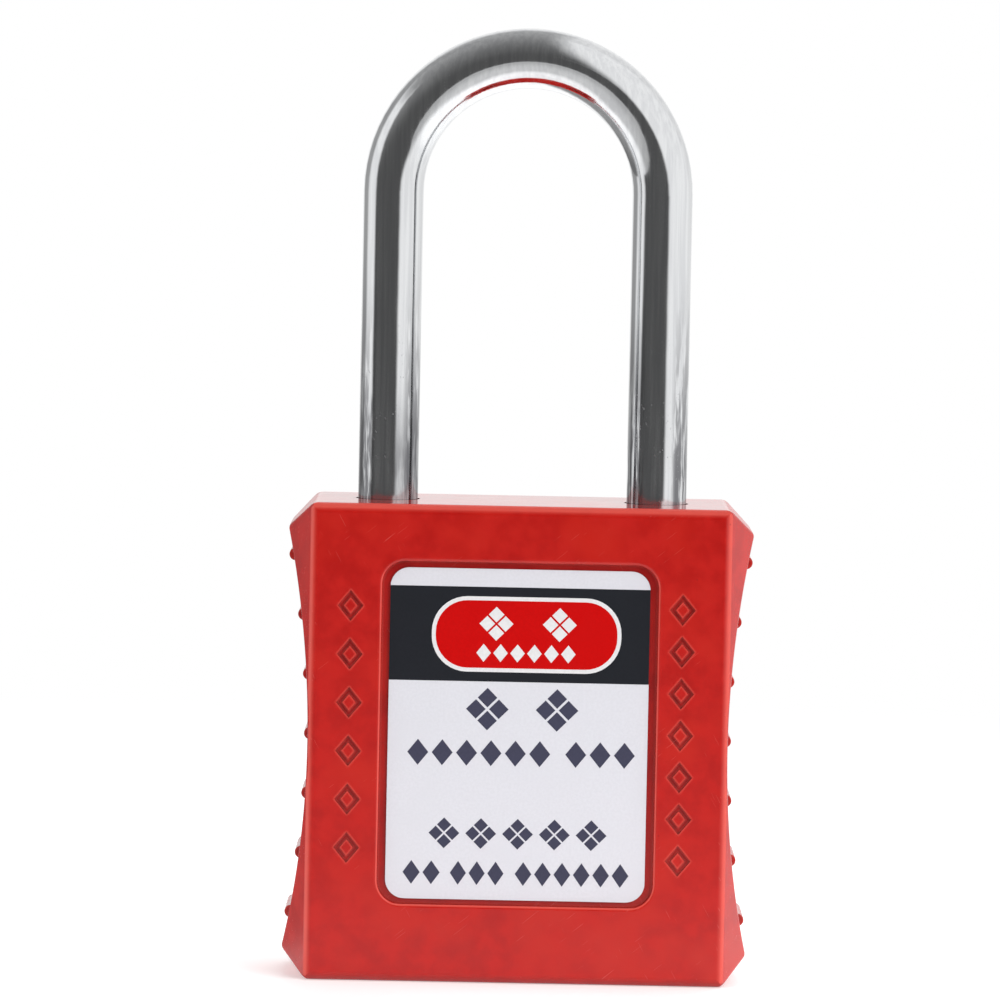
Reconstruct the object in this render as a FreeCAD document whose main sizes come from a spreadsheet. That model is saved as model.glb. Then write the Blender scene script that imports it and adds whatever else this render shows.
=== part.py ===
"""A red safety padlock: two moulded half shells, a shackle, a ball latch and a pin tumbler cylinder.

Frame: millimetres, +Z up, the origin at the middle of the body's bottom face. X runs across the body
from the heel (long) leg at -X to the toe (short) leg at +X. The front face looks along -Y.
The padlock stands closed but unlocked: the plug is turned a quarter turn and the balls are drawn in.
"""

import FreeCAD, Part
import math
import os
import re

import Sketcher
from FreeCAD import Placement, Rotation, Vector

DIMENSIONS = {
    # body
    "body_height": 45,
    "body_depth": 19,
    "face_width": 39.15,
    "tip_width": 44,
    "tip_rise": 2.5,
    "side_hollow": 2.25,
    "band_depth": 9,
    "edge_radius": 0.9,
    "corner_radius": 1.2,
    "tip_radius": 0.7,
    "flank_edge_radius": 0.5,
    "rib_radius": 0.6,
    "rib_proud": 0.45,
    "rib_middle": 22.85,
    "rib_pitch": 5.65,
    "rib_count": 7,
    # label and its recess
    "recess_width": 25.9,
    "recess_height": 32.3,
    "recess_depth": 0.8,
    "recess_radius": 2.2,
    "rim_radius": 0.3,
    "recess_base": 7.35,
    "label_width": 24.4,
    "label_height": 31.2,
    "label_radius": 1.8,
    "label_base": 7.85,
    "label_thickness": 0.25,
    # sunk marks beside the label
    "mark_width": 2.4,
    "mark_height": 2.9,
    "mark_stroke": 0.42,
    "mark_depth": 0.3,
    "left_mark_x": -15.9,
    "left_mark_top": 35.4,
    "left_mark_pitch": 4.56,
    "left_mark_count": 6,
    "right_mark_x": 15.25,
    "right_mark_top": 35.55,
    "right_mark_pitch": 3.94,
    "right_mark_count": 7,
    # shackle
    "leg_radius": 2.85,
    "leg_spacing": 25.5,
    "clear_height": 39.1,
    "shackle_travel": 12.3,
    "heel_end": 13.5,
    "toe_end": 33.2,
    "foot_height": 2.5,
    "neck_radius": 1.85,
    "neck_top": 31,
    "leg_chamfer": 0.6,
    "slide_gap": 0.2,
    # ball latch
    "ball_radius": 3,
    "ball_level": 37.3,
    "ball_open": 6.7,
    "ball_travel": 1.15,
    "notch_gap": 0.1,
    "channel_gap": 0.05,
    "cam_gap": 0.08,
    "cam_thickness": 5,
    "cam_hub_radius": 4.4,
    "cam_hub_base": 29.1,
    "cam_pocket_radius": 5.4,
    "cam_pocket_top": 40.3,
    "cam_rise_radius": 4.15,
    "cam_fall_radius": 5.2,
    "cam_rise_turn": 90,
    "cam_fall_start": 100,
    "cam_fall_end": 160,
    "pilot_radius": 1.5,
    "pilot_top": 41.2,
    # latch frame
    "frame_width": 34.4,
    "frame_depth": 12.6,
    "frame_base": 27.2,
    "frame_top": 42.6,
    "frame_corner": 1,
    "core_inner": 6.9,
    "core_outer": 16,
    "core_low": 28.6,
    "core_high": 41.2,
    "core_depth": 2.1,
    "stop_pin_radius": 1,
    "stop_pin_gap": 0.1,
    "stop_pin_length": 11,
    # lock cylinder
    "nose_radius": 5.8,
    "nose_base": 0.2,
    "nose_top": 2.3,
    "floor_thickness": 2.2,
    "barrel_radius": 6.3,
    "barrel_top": 27,
    "bible_width": 5.4,
    "bible_reach": 10.9,
    "bible_base": 2.9,
    "plug_radius": 4,
    "bore_gap": 0.03,
    "flange_radius": 4.6,
    "flange_base": 0.5,
    "flange_top": 1.7,
    "clip_base": 27.15,
    "clip_thickness": 0.7,
    "clip_radius": 4.9,
    "clip_seat_radius": 3.3,
    "clip_mouth": 4.6,
    "plug_round_top": 28.6,
    "tail_top": 32,
    "tail_width": 2.2,
    "tail_length": 7,
    "keyway_width": 1.5,
    "keyway_reach": 0.6,
    "keyway_top": 26.15,
    # pin stacks
    "stack_count": 6,
    "first_stack": 5.6,
    "stack_pitch": 3.5,
    "pin_radius": 1.2,
    "pin_bevel": 0.36,
    "key_pin_point": 0.84,
    "driver_bevel": 0.12,
    "chamber_radius": 1.25,
    "chamber_floor": -2,
    "key_pin_top": 3.78,
    "driver_start": 4.06,
    "driver_length": 3,
    "key_length_a": 3.4,
    "key_length_b": 4.2,
    "key_length_c": 3,
    "key_length_d": 4.6,
    "key_length_e": 3.8,
    "key_length_f": 3.2,
    "cover_start": 10,
    "cover_thickness": 0.8,
    "cover_width": 3.7,
    "cover_base": 4,
    "cover_height": 22.9,
    # springs
    "pin_wire_radius": 0.13,
    "pin_coil_radius": 0.9,
    "pin_coil_turns": 5,
    "shackle_wire_radius": 0.3,
    "shackle_coil_radius": 2.15,
    "shackle_coil_turns": 7.5,
    "spring_floor": 2.7,
    # room inside the shells
    "well_inside": 12.2,
    "well_outside": 17,
    "well_base": 3,
    "well_top": 26,
    "tail_gap": 0.05,
    "shell_gap": 0.1,
    "over_cut": 1,
    "locator_radius": 1,
    "locator_length": 2,
    "locator_x": 19,
    "locator_low": 5.2,
    "locator_high": 40,
}

doc = FreeCAD.newDocument("SafetyPadlock")
sheet = doc.addObject("Spreadsheet::Sheet", "Dimensions")
for row, (alias, number) in enumerate(DIMENSIONS.items(), start=1):
    sheet.set(f"A{row}", alias)
    sheet.set(f"B{row}", str(number))
    sheet.setAlias(f"B{row}", alias)
doc.recompute()


# ---------- helpers: everything below is bound to the sheet through these ----------
def bound(text):
    """An expression with each dimension's name pointing at the sheet."""
    return re.sub(r"[a-z]+(_[a-z]+)+", lambda m: "Dimensions." + m.group(0), str(text))


def value(text):
    """The number that an expression of dimensions has now."""
    return float(sheet.evalExpression(str(text)))


def new_body(label):
    body = doc.addObject("PartDesign::Body", label)
    body.Label = label
    return body


def place(body, x="0", y="0", z="0", turn=0.0):
    """Puts a body at a point given by expressions, turned about Z."""
    body.Placement = Placement(Vector(), Rotation(Vector(0, 0, 1), turn))
    for axis, text in (("x", x), ("y", y), ("z", z)):
        body.setExpression("Placement.Base." + axis, bound(text))


def new_sketch(body, role, name, offset="0"):
    """A sketch on one of the body's origin planes. On XZ_Plane the offset grows towards -Y."""
    sketch = body.newObject("Sketcher::SketchObject", name)
    plane = [item for item in body.Origin.OriginFeatures if item.Role == role][0]
    sketch.AttachmentSupport = [(plane, "")]
    sketch.MapMode = "FlatFace"
    sketch.setExpression("AttachmentOffset.Base.z", bound(offset))
    return sketch


def pin_axis(sketch, shape, end, kind, text):
    """Fixes one coordinate of a point of a sketch shape. kind is DistanceX or DistanceY."""
    index = sketch.addConstraint(Sketcher.Constraint(kind, -1, 1, shape, end, value(text)))
    sketch.setExpression(f"Constraints[{index}]", bound(text))


def pin_point(sketch, shape, end, x, y):
    """Fixes one point of a sketch shape at a place given by two expressions."""
    pin_axis(sketch, shape, end, "DistanceX", x)
    pin_axis(sketch, shape, end, "DistanceY", y)


def set_radius(sketch, shape, text):
    index = sketch.addConstraint(Sketcher.Constraint("Radius", shape, value(text)))
    sketch.setExpression(f"Constraints[{index}]", bound(text))


def add_outline(sketch, corners, arcs=None):
    """A closed anticlockwise outline through corners given as expression pairs.

    arcs maps a side's number to (radius expression, bend): the side is then an arc that bends to the
    outline's outside for a bend of 1 and to its inside for -1.
    """
    arcs = arcs or {}
    points = [Vector(value(x), value(y), 0) for x, y in corners]
    for side, start in enumerate(points):
        following = (side + 1) % len(points)
        finish = points[following]
        if side in arcs:
            radius, bend = arcs[side]
            shape = sketch.addGeometry(arc_between(start, finish, value(radius), bend), False)
            set_radius(sketch, shape, radius)
            starts_here = sketch.getPoint(shape, 1).distanceToPoint(start) < 1e-6
        else:
            shape = sketch.addGeometry(Part.LineSegment(start, finish), False)
            starts_here = True
        pin_point(sketch, shape, 1 if starts_here else 2, *corners[side])
        pin_point(sketch, shape, 2 if starts_here else 1, *corners[following])


def arc_between(start, finish, radius, bend):
    """The shorter arc between two points, to the right of their direction for a bend of 1."""
    half_chord = start.distanceToPoint(finish) / 2
    sagitta = radius - math.sqrt(max(radius**2 - half_chord**2, 0))
    along = (finish - start).normalize()
    right = Vector(along.y, -along.x, 0)
    return Part.Arc(start, (start + finish) * 0.5 + right * (sagitta * bend), finish)


def add_rectangle(sketch, low_x, low_y, high_x, high_y):
    add_outline(sketch, [(low_x, low_y), (high_x, low_y), (high_x, high_y), (low_x, high_y)])


def add_rounded_rectangle(sketch, low_x, low_y, high_x, high_y, radius):
    corners = [
        (f"{low_x} + {radius}", low_y),
        (f"{high_x} - {radius}", low_y),
        (high_x, f"{low_y} + {radius}"),
        (high_x, f"{high_y} - {radius}"),
        (f"{high_x} - {radius}", high_y),
        (f"{low_x} + {radius}", high_y),
        (low_x, f"{high_y} - {radius}"),
        (low_x, f"{low_y} + {radius}"),
    ]
    add_outline(sketch, corners, {side: (radius, 1) for side in (1, 3, 5, 7)})


def add_circle(sketch, x, y, radius):
    centre = Vector(value(x), value(y), 0)
    shape = sketch.addGeometry(Part.Circle(centre, Vector(0, 0, 1), value(radius)), False)
    pin_point(sketch, shape, 3, x, y)
    set_radius(sketch, shape, radius)


def profile_feature(body, kind, sketch, name, **settings):
    """A feature made from a sketch. Text settings are expressions, and the rest are plain values."""
    feature = body.newObject("PartDesign::" + kind, name)
    feature.Profile = sketch
    for key, setting in settings.items():
        if isinstance(setting, str):
            feature.setExpression(key, bound(setting))
        else:
            setattr(feature, key, setting)
    return feature


def pad(body, sketch, name, length, **more):
    return profile_feature(body, "Pad", sketch, name, Length=length, **more)


def pocket(body, sketch, name, length, **more):
    """A blind cut, checked for having taken something away."""
    return must_change(body, profile_feature(body, "Pocket", sketch, name, Length=length, **more))


def pocket_through(body, sketch, name):
    return must_change(body, profile_feature(body, "Pocket", sketch, name, Type=1, Midplane=True))


def revolve(body, sketch, name, axis, kind="Revolution"):
    return profile_feature(body, kind, sketch, name, ReferenceAxis=(sketch, [axis]), Angle=360.0)


def groove(body, sketch, name, axis):
    return must_change(body, revolve(body, sketch, name, axis, "Groove"))


def must_change(body, feature):
    """Stops the build if a cut missed the solid it belongs to."""
    doc.recompute()
    before = feature.BaseFeature.Shape.Volume
    if not feature.Shape.Volume < before - 1e-6:
        raise RuntimeError(f"{body.Label}: {feature.Name} cuts nothing")
    return feature


def repeat_along(body, sketch, feature, name, pitch, count, down=False):
    """Repeats a cut along its sketch's upright axis."""
    row = body.newObject("PartDesign::LinearPattern", name)
    row.Originals = [feature]
    row.Direction = (sketch, ["V_Axis"])
    row.Reversed = down
    row.Mode = "Spacing"
    row.setExpression("Occurrences", bound(count))
    row.setExpression("Offset", bound(pitch))
    body.Tip = row
    doc.recompute()


def dress(body, kind, name, base, chosen, size):
    """A fillet or chamfer on the edges of the base feature that the test picks."""
    doc.recompute()
    edges = [f"Edge{n}" for n, edge in enumerate(base.Shape.Edges, start=1) if chosen(edge)]
    if not edges:
        raise RuntimeError(f"{body.Label}: {name} found no edges")
    feature = body.newObject("PartDesign::" + kind, name)
    feature.Base = (base, edges)
    feature.setExpression("Radius" if kind == "Fillet" else "Size", bound(size))
    doc.recompute()
    return feature


def on_plane(edge, axis, level, tolerance=1e-4):
    """True if a whole edge lies in the plane where one coordinate has this value."""
    box = edge.BoundBox
    low, high = getattr(box, axis + "Min"), getattr(box, axis + "Max")
    return abs(low - level) < tolerance and abs(high - level) < tolerance


# ---------- body shells ----------
SIDE_RADIUS = "(((body_height / 2 - tip_rise) ^ 2 + side_hollow ^ 2) / (2 * side_hollow))"
FRONT, BACK = 1, -1


def side_x(level):
    """The half width of the hollow side at a height."""
    reach = f"sqrt({SIDE_RADIUS} ^ 2 - ({level} - body_height / 2) ^ 2)"
    return f"(tip_width / 2 - side_hollow + {SIDE_RADIUS} - {reach})"


def add_body_outline(sketch):
    """The body seen from the front: tips near the top and bottom, hollow sides between them."""
    corners = [
        ("-face_width / 2", "0"),
        ("face_width / 2", "0"),
        ("tip_width / 2", "tip_rise"),
        ("tip_width / 2", "body_height - tip_rise"),
        ("face_width / 2", "body_height"),
        ("-face_width / 2", "body_height"),
        ("-tip_width / 2", "body_height - tip_rise"),
        ("-tip_width / 2", "tip_rise"),
    ]
    add_outline(sketch, corners, {side: (SIDE_RADIUS, -1) for side in (2, 6)})


def cut_flanks(body, side):
    """Slopes both flanks back from the face to the side band and rounds the face's upright edges."""
    sketch = new_sketch(body, "XY_Plane", "flank_outlines")
    slope = "atan((body_depth - band_depth) / (tip_width - face_width))"
    setback = f"edge_radius * tan({slope} / 2)"
    face = f"{-side} * body_depth / 2"
    arc_end = f"{-side} * (body_depth / 2 - {setback} * sin({slope}))"
    corners = [
        (f"face_width / 2 - {setback}", face),
        (f"face_width / 2 + {setback} * cos({slope})", arc_end),
        ("tip_width / 2 + tip_rise", f"{-side} * (band_depth / 2 - tip_rise * tan({slope}))"),
        ("tip_width / 2 + tip_rise", f"{-side} * body_depth"),
        (f"face_width / 2 - {setback}", f"{-side} * body_depth"),
    ]
    mirrored = [(f"-({x})", y) for x, y in corners]
    add_outline(sketch, corners, {0: ("edge_radius", side)})
    add_outline(sketch, mirrored, {0: ("edge_radius", -side)})
    pocket_through(body, sketch, "flanks")


def round_face_edges(body, side):
    """Rounds the face's top and bottom edges right across."""
    sketch = new_sketch(body, "YZ_Plane", "edge_outlines")
    face, inner = f"{-side} * body_depth / 2", f"{-side} * (body_depth / 2 - edge_radius)"
    outside = f"{-side} * body_depth"
    top = [
        (face, "body_height - edge_radius"),
        (inner, "body_height"),
        (inner, "body_height + over_cut"),
        (outside, "body_height + over_cut"),
        (outside, "body_height - edge_radius"),
    ]
    bottom = [(y, f"body_height - ({z})") for y, z in top]
    add_outline(sketch, top, {0: ("edge_radius", -side)})
    add_outline(sketch, bottom, {0: ("edge_radius", side)})
    return pocket_through(body, sketch, "face_edges")


def shell_block(body, side):
    """Half of the body's outside, from the joint face at mid depth to the front or back face."""
    sketch = new_sketch(body, "XZ_Plane", "body_outline")
    add_body_outline(sketch)
    block = pad(body, sketch, "block", "body_depth / 2", Reversed=side == BACK)
    round_outline(body, block)
    cut_flanks(body, side)
    rounded = round_face_edges(body, side)
    dress(body, "Fillet", "flank_edges", rounded, is_tip_edge, "flank_edge_radius")


def round_outline(body, block):
    """Rounds the outline's four corners at the ends of the face and then its four tips."""
    depth, tip = value("body_depth / 2"), value("tip_width / 2")
    for name, radius, at_tip in (("corners", "corner_radius", False), ("tips", "tip_radius", True)):
        block = dress(
            body, "Fillet", name, block,
            lambda e: e.BoundBox.YLength > depth - 1e-3 and (abs(e.BoundBox.XMin) > tip - 1e-3) == at_tip,
            radius,
        )


def is_tip_edge(edge):
    """True for the straight edges from the face's corners to the tips. The hollow edges run on from them."""
    box = edge.BoundBox
    straight = edge.Curve.TypeId == "Part::GeomLine"
    slanted = min(box.XLength, box.YLength, box.ZLength) > value("flank_edge_radius")
    return straight and slanted and box.ZLength < value("tip_rise")


def rib_levels():
    middle = (value("rib_count") - 1) / 2
    return [f"(rib_middle + rib_pitch * {step - middle})" for step in range(int(value("rib_count")))]


def add_ribs(body, side):
    """Round finger ribs across the hollow sides."""
    sketch = new_sketch(body, "XZ_Plane", "rib_rounds")
    for level in rib_levels():
        centre = f"({side_x(level)} + rib_proud - rib_radius)"
        add_circle(sketch, centre, level, "rib_radius")
        add_circle(sketch, f"-{centre}", level, "rib_radius")
    pad(body, sketch, "ribs", "band_depth / 2", Reversed=side == BACK)


def cut_label_recess(body, side):
    sketch = new_sketch(body, "XZ_Plane", "recess_outline", f"{side} * body_depth / 2")
    add_rounded_rectangle(
        sketch, "-recess_width / 2", "recess_base", "recess_width / 2",
        "recess_base + recess_height", "recess_radius",
    )
    return pocket(body, sketch, "label_recess", "recess_depth", Reversed=side == BACK)


def add_diamond(sketch, x, z, half_width, half_height):
    corners = [
        (f"{x} - ({half_width})", z),
        (x, f"{z} - ({half_height})"),
        (f"{x} + {half_width}", z),
        (x, f"{z} + {half_height}"),
    ]
    add_outline(sketch, corners)


def cut_marks(body, side, column):
    """A column of sunk plain marks, each the outline of a diamond."""
    x, top = column + "_x", column + "_top"
    sketch = new_sketch(body, "XZ_Plane", column + "_outline", f"{side} * body_depth / 2")
    slant = "mark_stroke * sqrt(mark_width ^ 2 + mark_height ^ 2)"
    inner_width = f"mark_width / 2 - {slant} / mark_height"
    inner_height = f"mark_height / 2 - {slant} / mark_width"
    add_diamond(sketch, x, top, "mark_width / 2", "mark_height / 2")
    add_diamond(sketch, x, top, inner_width, inner_height)
    mark = pocket(body, sketch, column, "mark_depth", Reversed=side == BACK)
    repeat_along(body, sketch, mark, column + "_column", column + "_pitch", column + "_count", down=True)


def cut_up(body, name, base, length, draw):
    """A cut that starts at a height and goes up. draw puts its outline on the level sketch."""
    sketch = new_sketch(body, "XY_Plane", name + "_outline", base)
    draw(sketch)
    return pocket(body, sketch, name, length, Reversed=True)


def cut_shell_room(body, side):
    """The room inside for the latch frame, the lock cylinder, the shackle and its spring."""
    room = new_sketch(body, "XZ_Plane", "frame_room_outline")
    half = "frame_width / 2 + shell_gap"
    add_rectangle(room, f"-({half})", "frame_base - shell_gap", half, "frame_top + shell_gap")
    add_rectangle(room, "well_inside", "well_base", "well_outside", "well_top")
    pocket(body, room, "frame_room", "frame_depth / 2 + shell_gap", Reversed=side == FRONT)
    barrel_room = "frame_base - floor_thickness"
    cut_up(
        body, "nose_hole", "0", "floor_thickness",
        lambda s: add_circle(s, "0", "0", "nose_radius + shell_gap"),
    )
    cut_up(
        body, "barrel_room", "floor_thickness", barrel_room,
        lambda s: add_circle(s, "0", "0", "barrel_radius + shell_gap"),
    )
    flat = "bible_width / 2 + shell_gap"
    cut_up(
        body, "bible_room", "bible_base - shell_gap", "frame_base - bible_base",
        lambda s: add_rectangle(s, "0", f"-({flat})", "bible_reach + shell_gap", flat),
    )
    bore = "leg_radius + slide_gap"
    cut_up(
        body, "heel_bore", "spring_floor", "body_height - spring_floor",
        lambda s: add_circle(s, "-leg_spacing / 2", "0", bore),
    )
    cut_up(
        body, "toe_bore", "frame_top", "body_height - frame_top",
        lambda s: add_circle(s, "leg_spacing / 2", "0", bore),
    )


def locators(body, side):
    """Pegs on the front shell's joint face and sockets for them in the back shell."""
    sketch = new_sketch(body, "XZ_Plane", "locator_rounds")
    radius = "locator_radius" if side == FRONT else "locator_radius + channel_gap"
    for x in ("locator_x", "-locator_x"):
        for z in ("locator_low", "locator_high"):
            add_circle(sketch, x, z, radius)
    if side == FRONT:
        pad(body, sketch, "pegs", "locator_length", Reversed=True)
    else:
        pocket(body, sketch, "sockets", "locator_length + shell_gap")


def make_shell(label, side):
    body = new_body(label)
    shell_block(body, side)
    recess = cut_label_recess(body, side)
    face = value("body_depth") / 2 * -side
    reach = value("recess_width") / 2 + 0.01
    dress(
        body, "Fillet", "recess_rim", recess,
        lambda e: on_plane(e, "Y", face) and -reach < e.BoundBox.XMin and e.BoundBox.XMax < reach,
        "rim_radius",
    )
    add_ribs(body, side)
    for column in ("left_mark", "right_mark"):
        cut_marks(body, side, column)
    cut_shell_room(body, side)
    locators(body, side)


def make_label(label, side):
    body = new_body(label)
    sketch = new_sketch(body, "XZ_Plane", "label_outline", f"{side} * (body_depth / 2 - recess_depth)")
    add_rounded_rectangle(
        sketch, "-label_width / 2", "label_base", "label_width / 2",
        "label_base + label_height", "label_radius",
    )
    pad(body, sketch, "sheet", "label_thickness", Reversed=side == BACK)


# ---------- shackle, its spring and its stop ----------
BEND_LEVEL = "(body_height + clear_height + leg_radius - leg_spacing / 2)"
LOCKED_BALL = "(ball_open + ball_travel)"


def make_shackle():
    """A round bar bent into a U. Its own Z axis is the heel leg's."""
    body = new_body("shackle")
    path = new_sketch(body, "XZ_Plane", "bar_path")
    spacing, level = value("leg_spacing"), value(BEND_LEVEL)
    heel_line = Part.LineSegment(Vector(0, value("heel_end"), 0), Vector(0, level, 0))
    toe_line = Part.LineSegment(Vector(spacing, level, 0), Vector(spacing, value("toe_end"), 0))
    circle = Part.Circle(Vector(spacing / 2, level, 0), Vector(0, 0, 1), spacing / 2)
    heel = path.addGeometry(heel_line, False)
    bend = path.addGeometry(Part.ArcOfCircle(circle, 0, math.pi), False)
    toe = path.addGeometry(toe_line, False)
    pin_point(path, heel, 1, "0", "heel_end")
    pin_point(path, heel, 2, "0", BEND_LEVEL)
    pin_point(path, bend, 3, "leg_spacing / 2", BEND_LEVEL)
    path.addConstraint(Sketcher.Constraint("Coincident", bend, 2, heel, 2))
    path.addConstraint(Sketcher.Constraint("Coincident", bend, 1, toe, 1))
    pin_point(path, toe, 2, "leg_spacing", "toe_end")
    pin_axis(path, toe, 1, "DistanceY", BEND_LEVEL)
    profile = new_sketch(body, "XY_Plane", "bar_round", "heel_end")
    add_circle(profile, "0", "0", "leg_radius")
    bar = profile_feature(body, "AdditivePipe", profile, "bar", Spine=(path, ["Edge1", "Edge2", "Edge3"]))
    ends = (value("heel_end"), value("toe_end"))
    dress(
        body, "Chamfer", "leg_ends", bar,
        lambda e: any(on_plane(e, "Z", level) for level in ends),
        "leg_chamfer",
    )
    neck = new_sketch(body, "XZ_Plane", "neck_outline")
    foot_top = "(heel_end + foot_height)"
    outside = "(leg_radius + over_cut)"
    corners = [
        ("neck_radius", foot_top),
        (outside, foot_top),
        (outside, f"neck_top + {outside} - neck_radius"),
        ("neck_radius", "neck_top"),
    ]
    add_outline(neck, corners)
    groove(body, neck, "neck", "V_Axis")
    notch = new_sketch(body, "XZ_Plane", "notch_rounds")
    for x in (f"leg_spacing / 2 - {LOCKED_BALL}", f"leg_spacing / 2 + {LOCKED_BALL}"):
        add_circle(notch, x, "ball_level", "ball_radius + notch_gap")
    pocket_through(body, notch, "notches")
    place(body, x="-leg_spacing / 2")


def make_coil(label, axis, coil_radius, wire_radius, start, end, turns):
    """A coil spring of round wire about its own X axis (H_Axis) or Z axis (V_Axis), from start to end."""
    body = new_body(label)
    sketch = new_sketch(body, "XZ_Plane", "wire_round")
    along = f"({start} + {wire_radius})"
    if axis == "H_Axis":
        add_circle(sketch, along, coil_radius, wire_radius)
    else:
        add_circle(sketch, coil_radius, along, wire_radius)
    coil = body.newObject("PartDesign::AdditiveHelix", "coil")
    coil.Profile = sketch
    coil.ReferenceAxis = (sketch, [axis])
    coil.Mode = "height-turns-angle"
    height = f"(({end}) - ({start}) - 2 * {wire_radius})"
    coil.setExpression("Height", bound(height))
    coil.setExpression("Turns", bound(turns))
    return body


def make_shackle_spring():
    spring = make_coil(
        "shackle_spring", "V_Axis", "shackle_coil_radius", "shackle_wire_radius",
        "spring_floor + channel_gap", "heel_end - channel_gap", "shackle_coil_turns",
    )
    place(spring, x="-leg_spacing / 2")


STOP_PIN_X = "(neck_radius - leg_spacing / 2 + stop_pin_radius + stop_pin_gap)"
STOP_PIN_LEVEL = "(heel_end + foot_height + shackle_travel + stop_pin_radius + stop_pin_gap)"


def make_stop_pin():
    pin = doc.addObject("Part::Cylinder", "stop_pin")
    pin.Label = "stop_pin"
    pin.setExpression("Radius", bound("stop_pin_radius"))
    pin.setExpression("Height", bound("stop_pin_length"))
    pin.Placement = Placement(Vector(), Rotation(Vector(1, 0, 0), 90))
    for axis, text in (("x", STOP_PIN_X), ("y", "stop_pin_length / 2"), ("z", STOP_PIN_LEVEL)):
        pin.setExpression("Placement.Base." + axis, bound(text))


# ---------- ball latch ----------
def make_ball(label, side):
    ball = doc.addObject("Part::Sphere", label)
    ball.Label = label
    ball.setExpression("Radius", bound("ball_radius"))
    ball.setExpression("Placement.Base.x", bound(f"{side} * ball_open"))
    ball.setExpression("Placement.Base.z", bound("ball_level"))


def make_latch_frame():
    """A cast block with leg bores, the balls' cross channel, the cam's pocket and cored corners."""
    body = new_body("latch_frame")
    outline = new_sketch(body, "XY_Plane", "block_outline", "frame_base")
    add_rounded_rectangle(
        outline, "-frame_width / 2", "-frame_depth / 2", "frame_width / 2", "frame_depth / 2",
        "frame_corner",
    )
    pad(body, outline, "block", "frame_top - frame_base")
    bore = "leg_radius + channel_gap"
    cut_up(
        body, "heel_bore", "frame_base", "frame_top - frame_base",
        lambda s: add_circle(s, "-leg_spacing / 2", "0", bore),
    )
    cut_up(
        body, "toe_bore", "toe_end - leg_chamfer", "frame_top - toe_end + leg_chamfer",
        lambda s: add_circle(s, "leg_spacing / 2", "0", bore),
    )
    cut_up(
        body, "cam_pocket", "frame_base", "cam_pocket_top - frame_base",
        lambda s: add_circle(s, "0", "0", "cam_pocket_radius"),
    )
    cut_up(
        body, "pilot_hole", "cam_pocket_top", "pilot_top + shell_gap - cam_pocket_top",
        lambda s: add_circle(s, "0", "0", "pilot_radius + channel_gap"),
    )
    channel = new_sketch(body, "YZ_Plane", "channel_round")
    add_circle(channel, "0", "ball_level", "ball_radius + channel_gap")
    pocket(body, channel, "ball_channel", "leg_spacing", Midplane=True)
    cross = new_sketch(body, "XZ_Plane", "stop_pin_round")
    add_circle(cross, STOP_PIN_X, STOP_PIN_LEVEL, "stop_pin_radius")
    pocket(body, cross, "stop_pin_hole", "stop_pin_length", Midplane=True)
    for side in (FRONT, BACK):
        name = "front_cores" if side == FRONT else "back_cores"
        cores = new_sketch(body, "XZ_Plane", name + "_outline", f"{side} * frame_depth / 2")
        add_rectangle(cores, "core_inner", "core_low", "core_outer", "core_high")
        add_rectangle(cores, "-core_outer", "core_low", "-core_inner", "core_high")
        pocket(body, cores, name, "core_depth", Reversed=side == BACK)


CAM_LOW = "(ball_open - ball_radius - cam_gap)"
CAM_HIGH = f"({CAM_LOW} + ball_travel)"


def on_cam(radius, turn):
    """A point of the cam's outline at a radius and a turn from its +X axis."""
    return f"{radius} * cos({turn})", f"{radius} * sin({turn})"


def make_locking_cam():
    """A two-lobed cam. Each lobe rises by the balls' travel over a quarter turn, rests and falls again."""
    body = new_body("locking_cam")
    base = "(ball_level - cam_thickness / 2)"
    hub = new_sketch(body, "XY_Plane", "hub_round", "cam_hub_base")
    add_circle(hub, "0", "0", "cam_hub_radius")
    pad(body, hub, "hub", f"{base} - cam_hub_base")
    outline = new_sketch(body, "XY_Plane", "lobe_outline", base)
    corners, arcs = [], {}
    for start in ("0", "180"):
        arcs[len(corners)] = ("cam_rise_radius", 1)
        corners.append(on_cam(CAM_LOW, start))
        arcs[len(corners)] = (CAM_HIGH, 1)
        corners.append(on_cam(CAM_HIGH, f"{start} + cam_rise_turn"))
        arcs[len(corners)] = ("cam_fall_radius", 1)
        corners.append(on_cam(CAM_HIGH, f"{start} + cam_fall_start"))
        arcs[len(corners)] = (CAM_LOW, 1)
        corners.append(on_cam(CAM_LOW, f"{start} + cam_fall_end"))
    add_outline(outline, corners, arcs)
    pad(body, outline, "lobes", "cam_thickness")
    pilot_base = f"({base} + cam_thickness)"
    pilot = new_sketch(body, "XY_Plane", "pilot_round", pilot_base)
    add_circle(pilot, "0", "0", "pilot_radius")
    pad(body, pilot, "pilot", f"pilot_top - {pilot_base}")
    half_width, half_length = "(tail_width / 2 + tail_gap)", "(tail_length / 2 + tail_gap)"
    cut_up(
        body, "tail_slot", "cam_hub_base", "tail_top + tail_gap - cam_hub_base",
        lambda s: add_rectangle(s, f"-{half_width}", f"-{half_length}", half_width, half_length),
    )


# ---------- lock cylinder ----------
KEY_PIN_LENGTHS = ["key_length_" + letter for letter in "abcdef"]
STACK_LEVELS = [f"(first_stack + {number} * stack_pitch)" for number in range(int(value("stack_count")))]
KEYWAY_SIDES = (
    # shares of the plug's radius, then of the keyway's half width
    (-1, -1),
    (-0.55, -1),
    (-0.45, -0.5),
    (-0.2, -0.5),
    (-0.1, -1),
)
KEYWAY_OTHER_SIDES = (
    (-0.2, 0.5),
    (-0.3, 1),
    (-0.7, 1),
    (-0.8, 0.5),
    (-1, 0.5),
)


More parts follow.
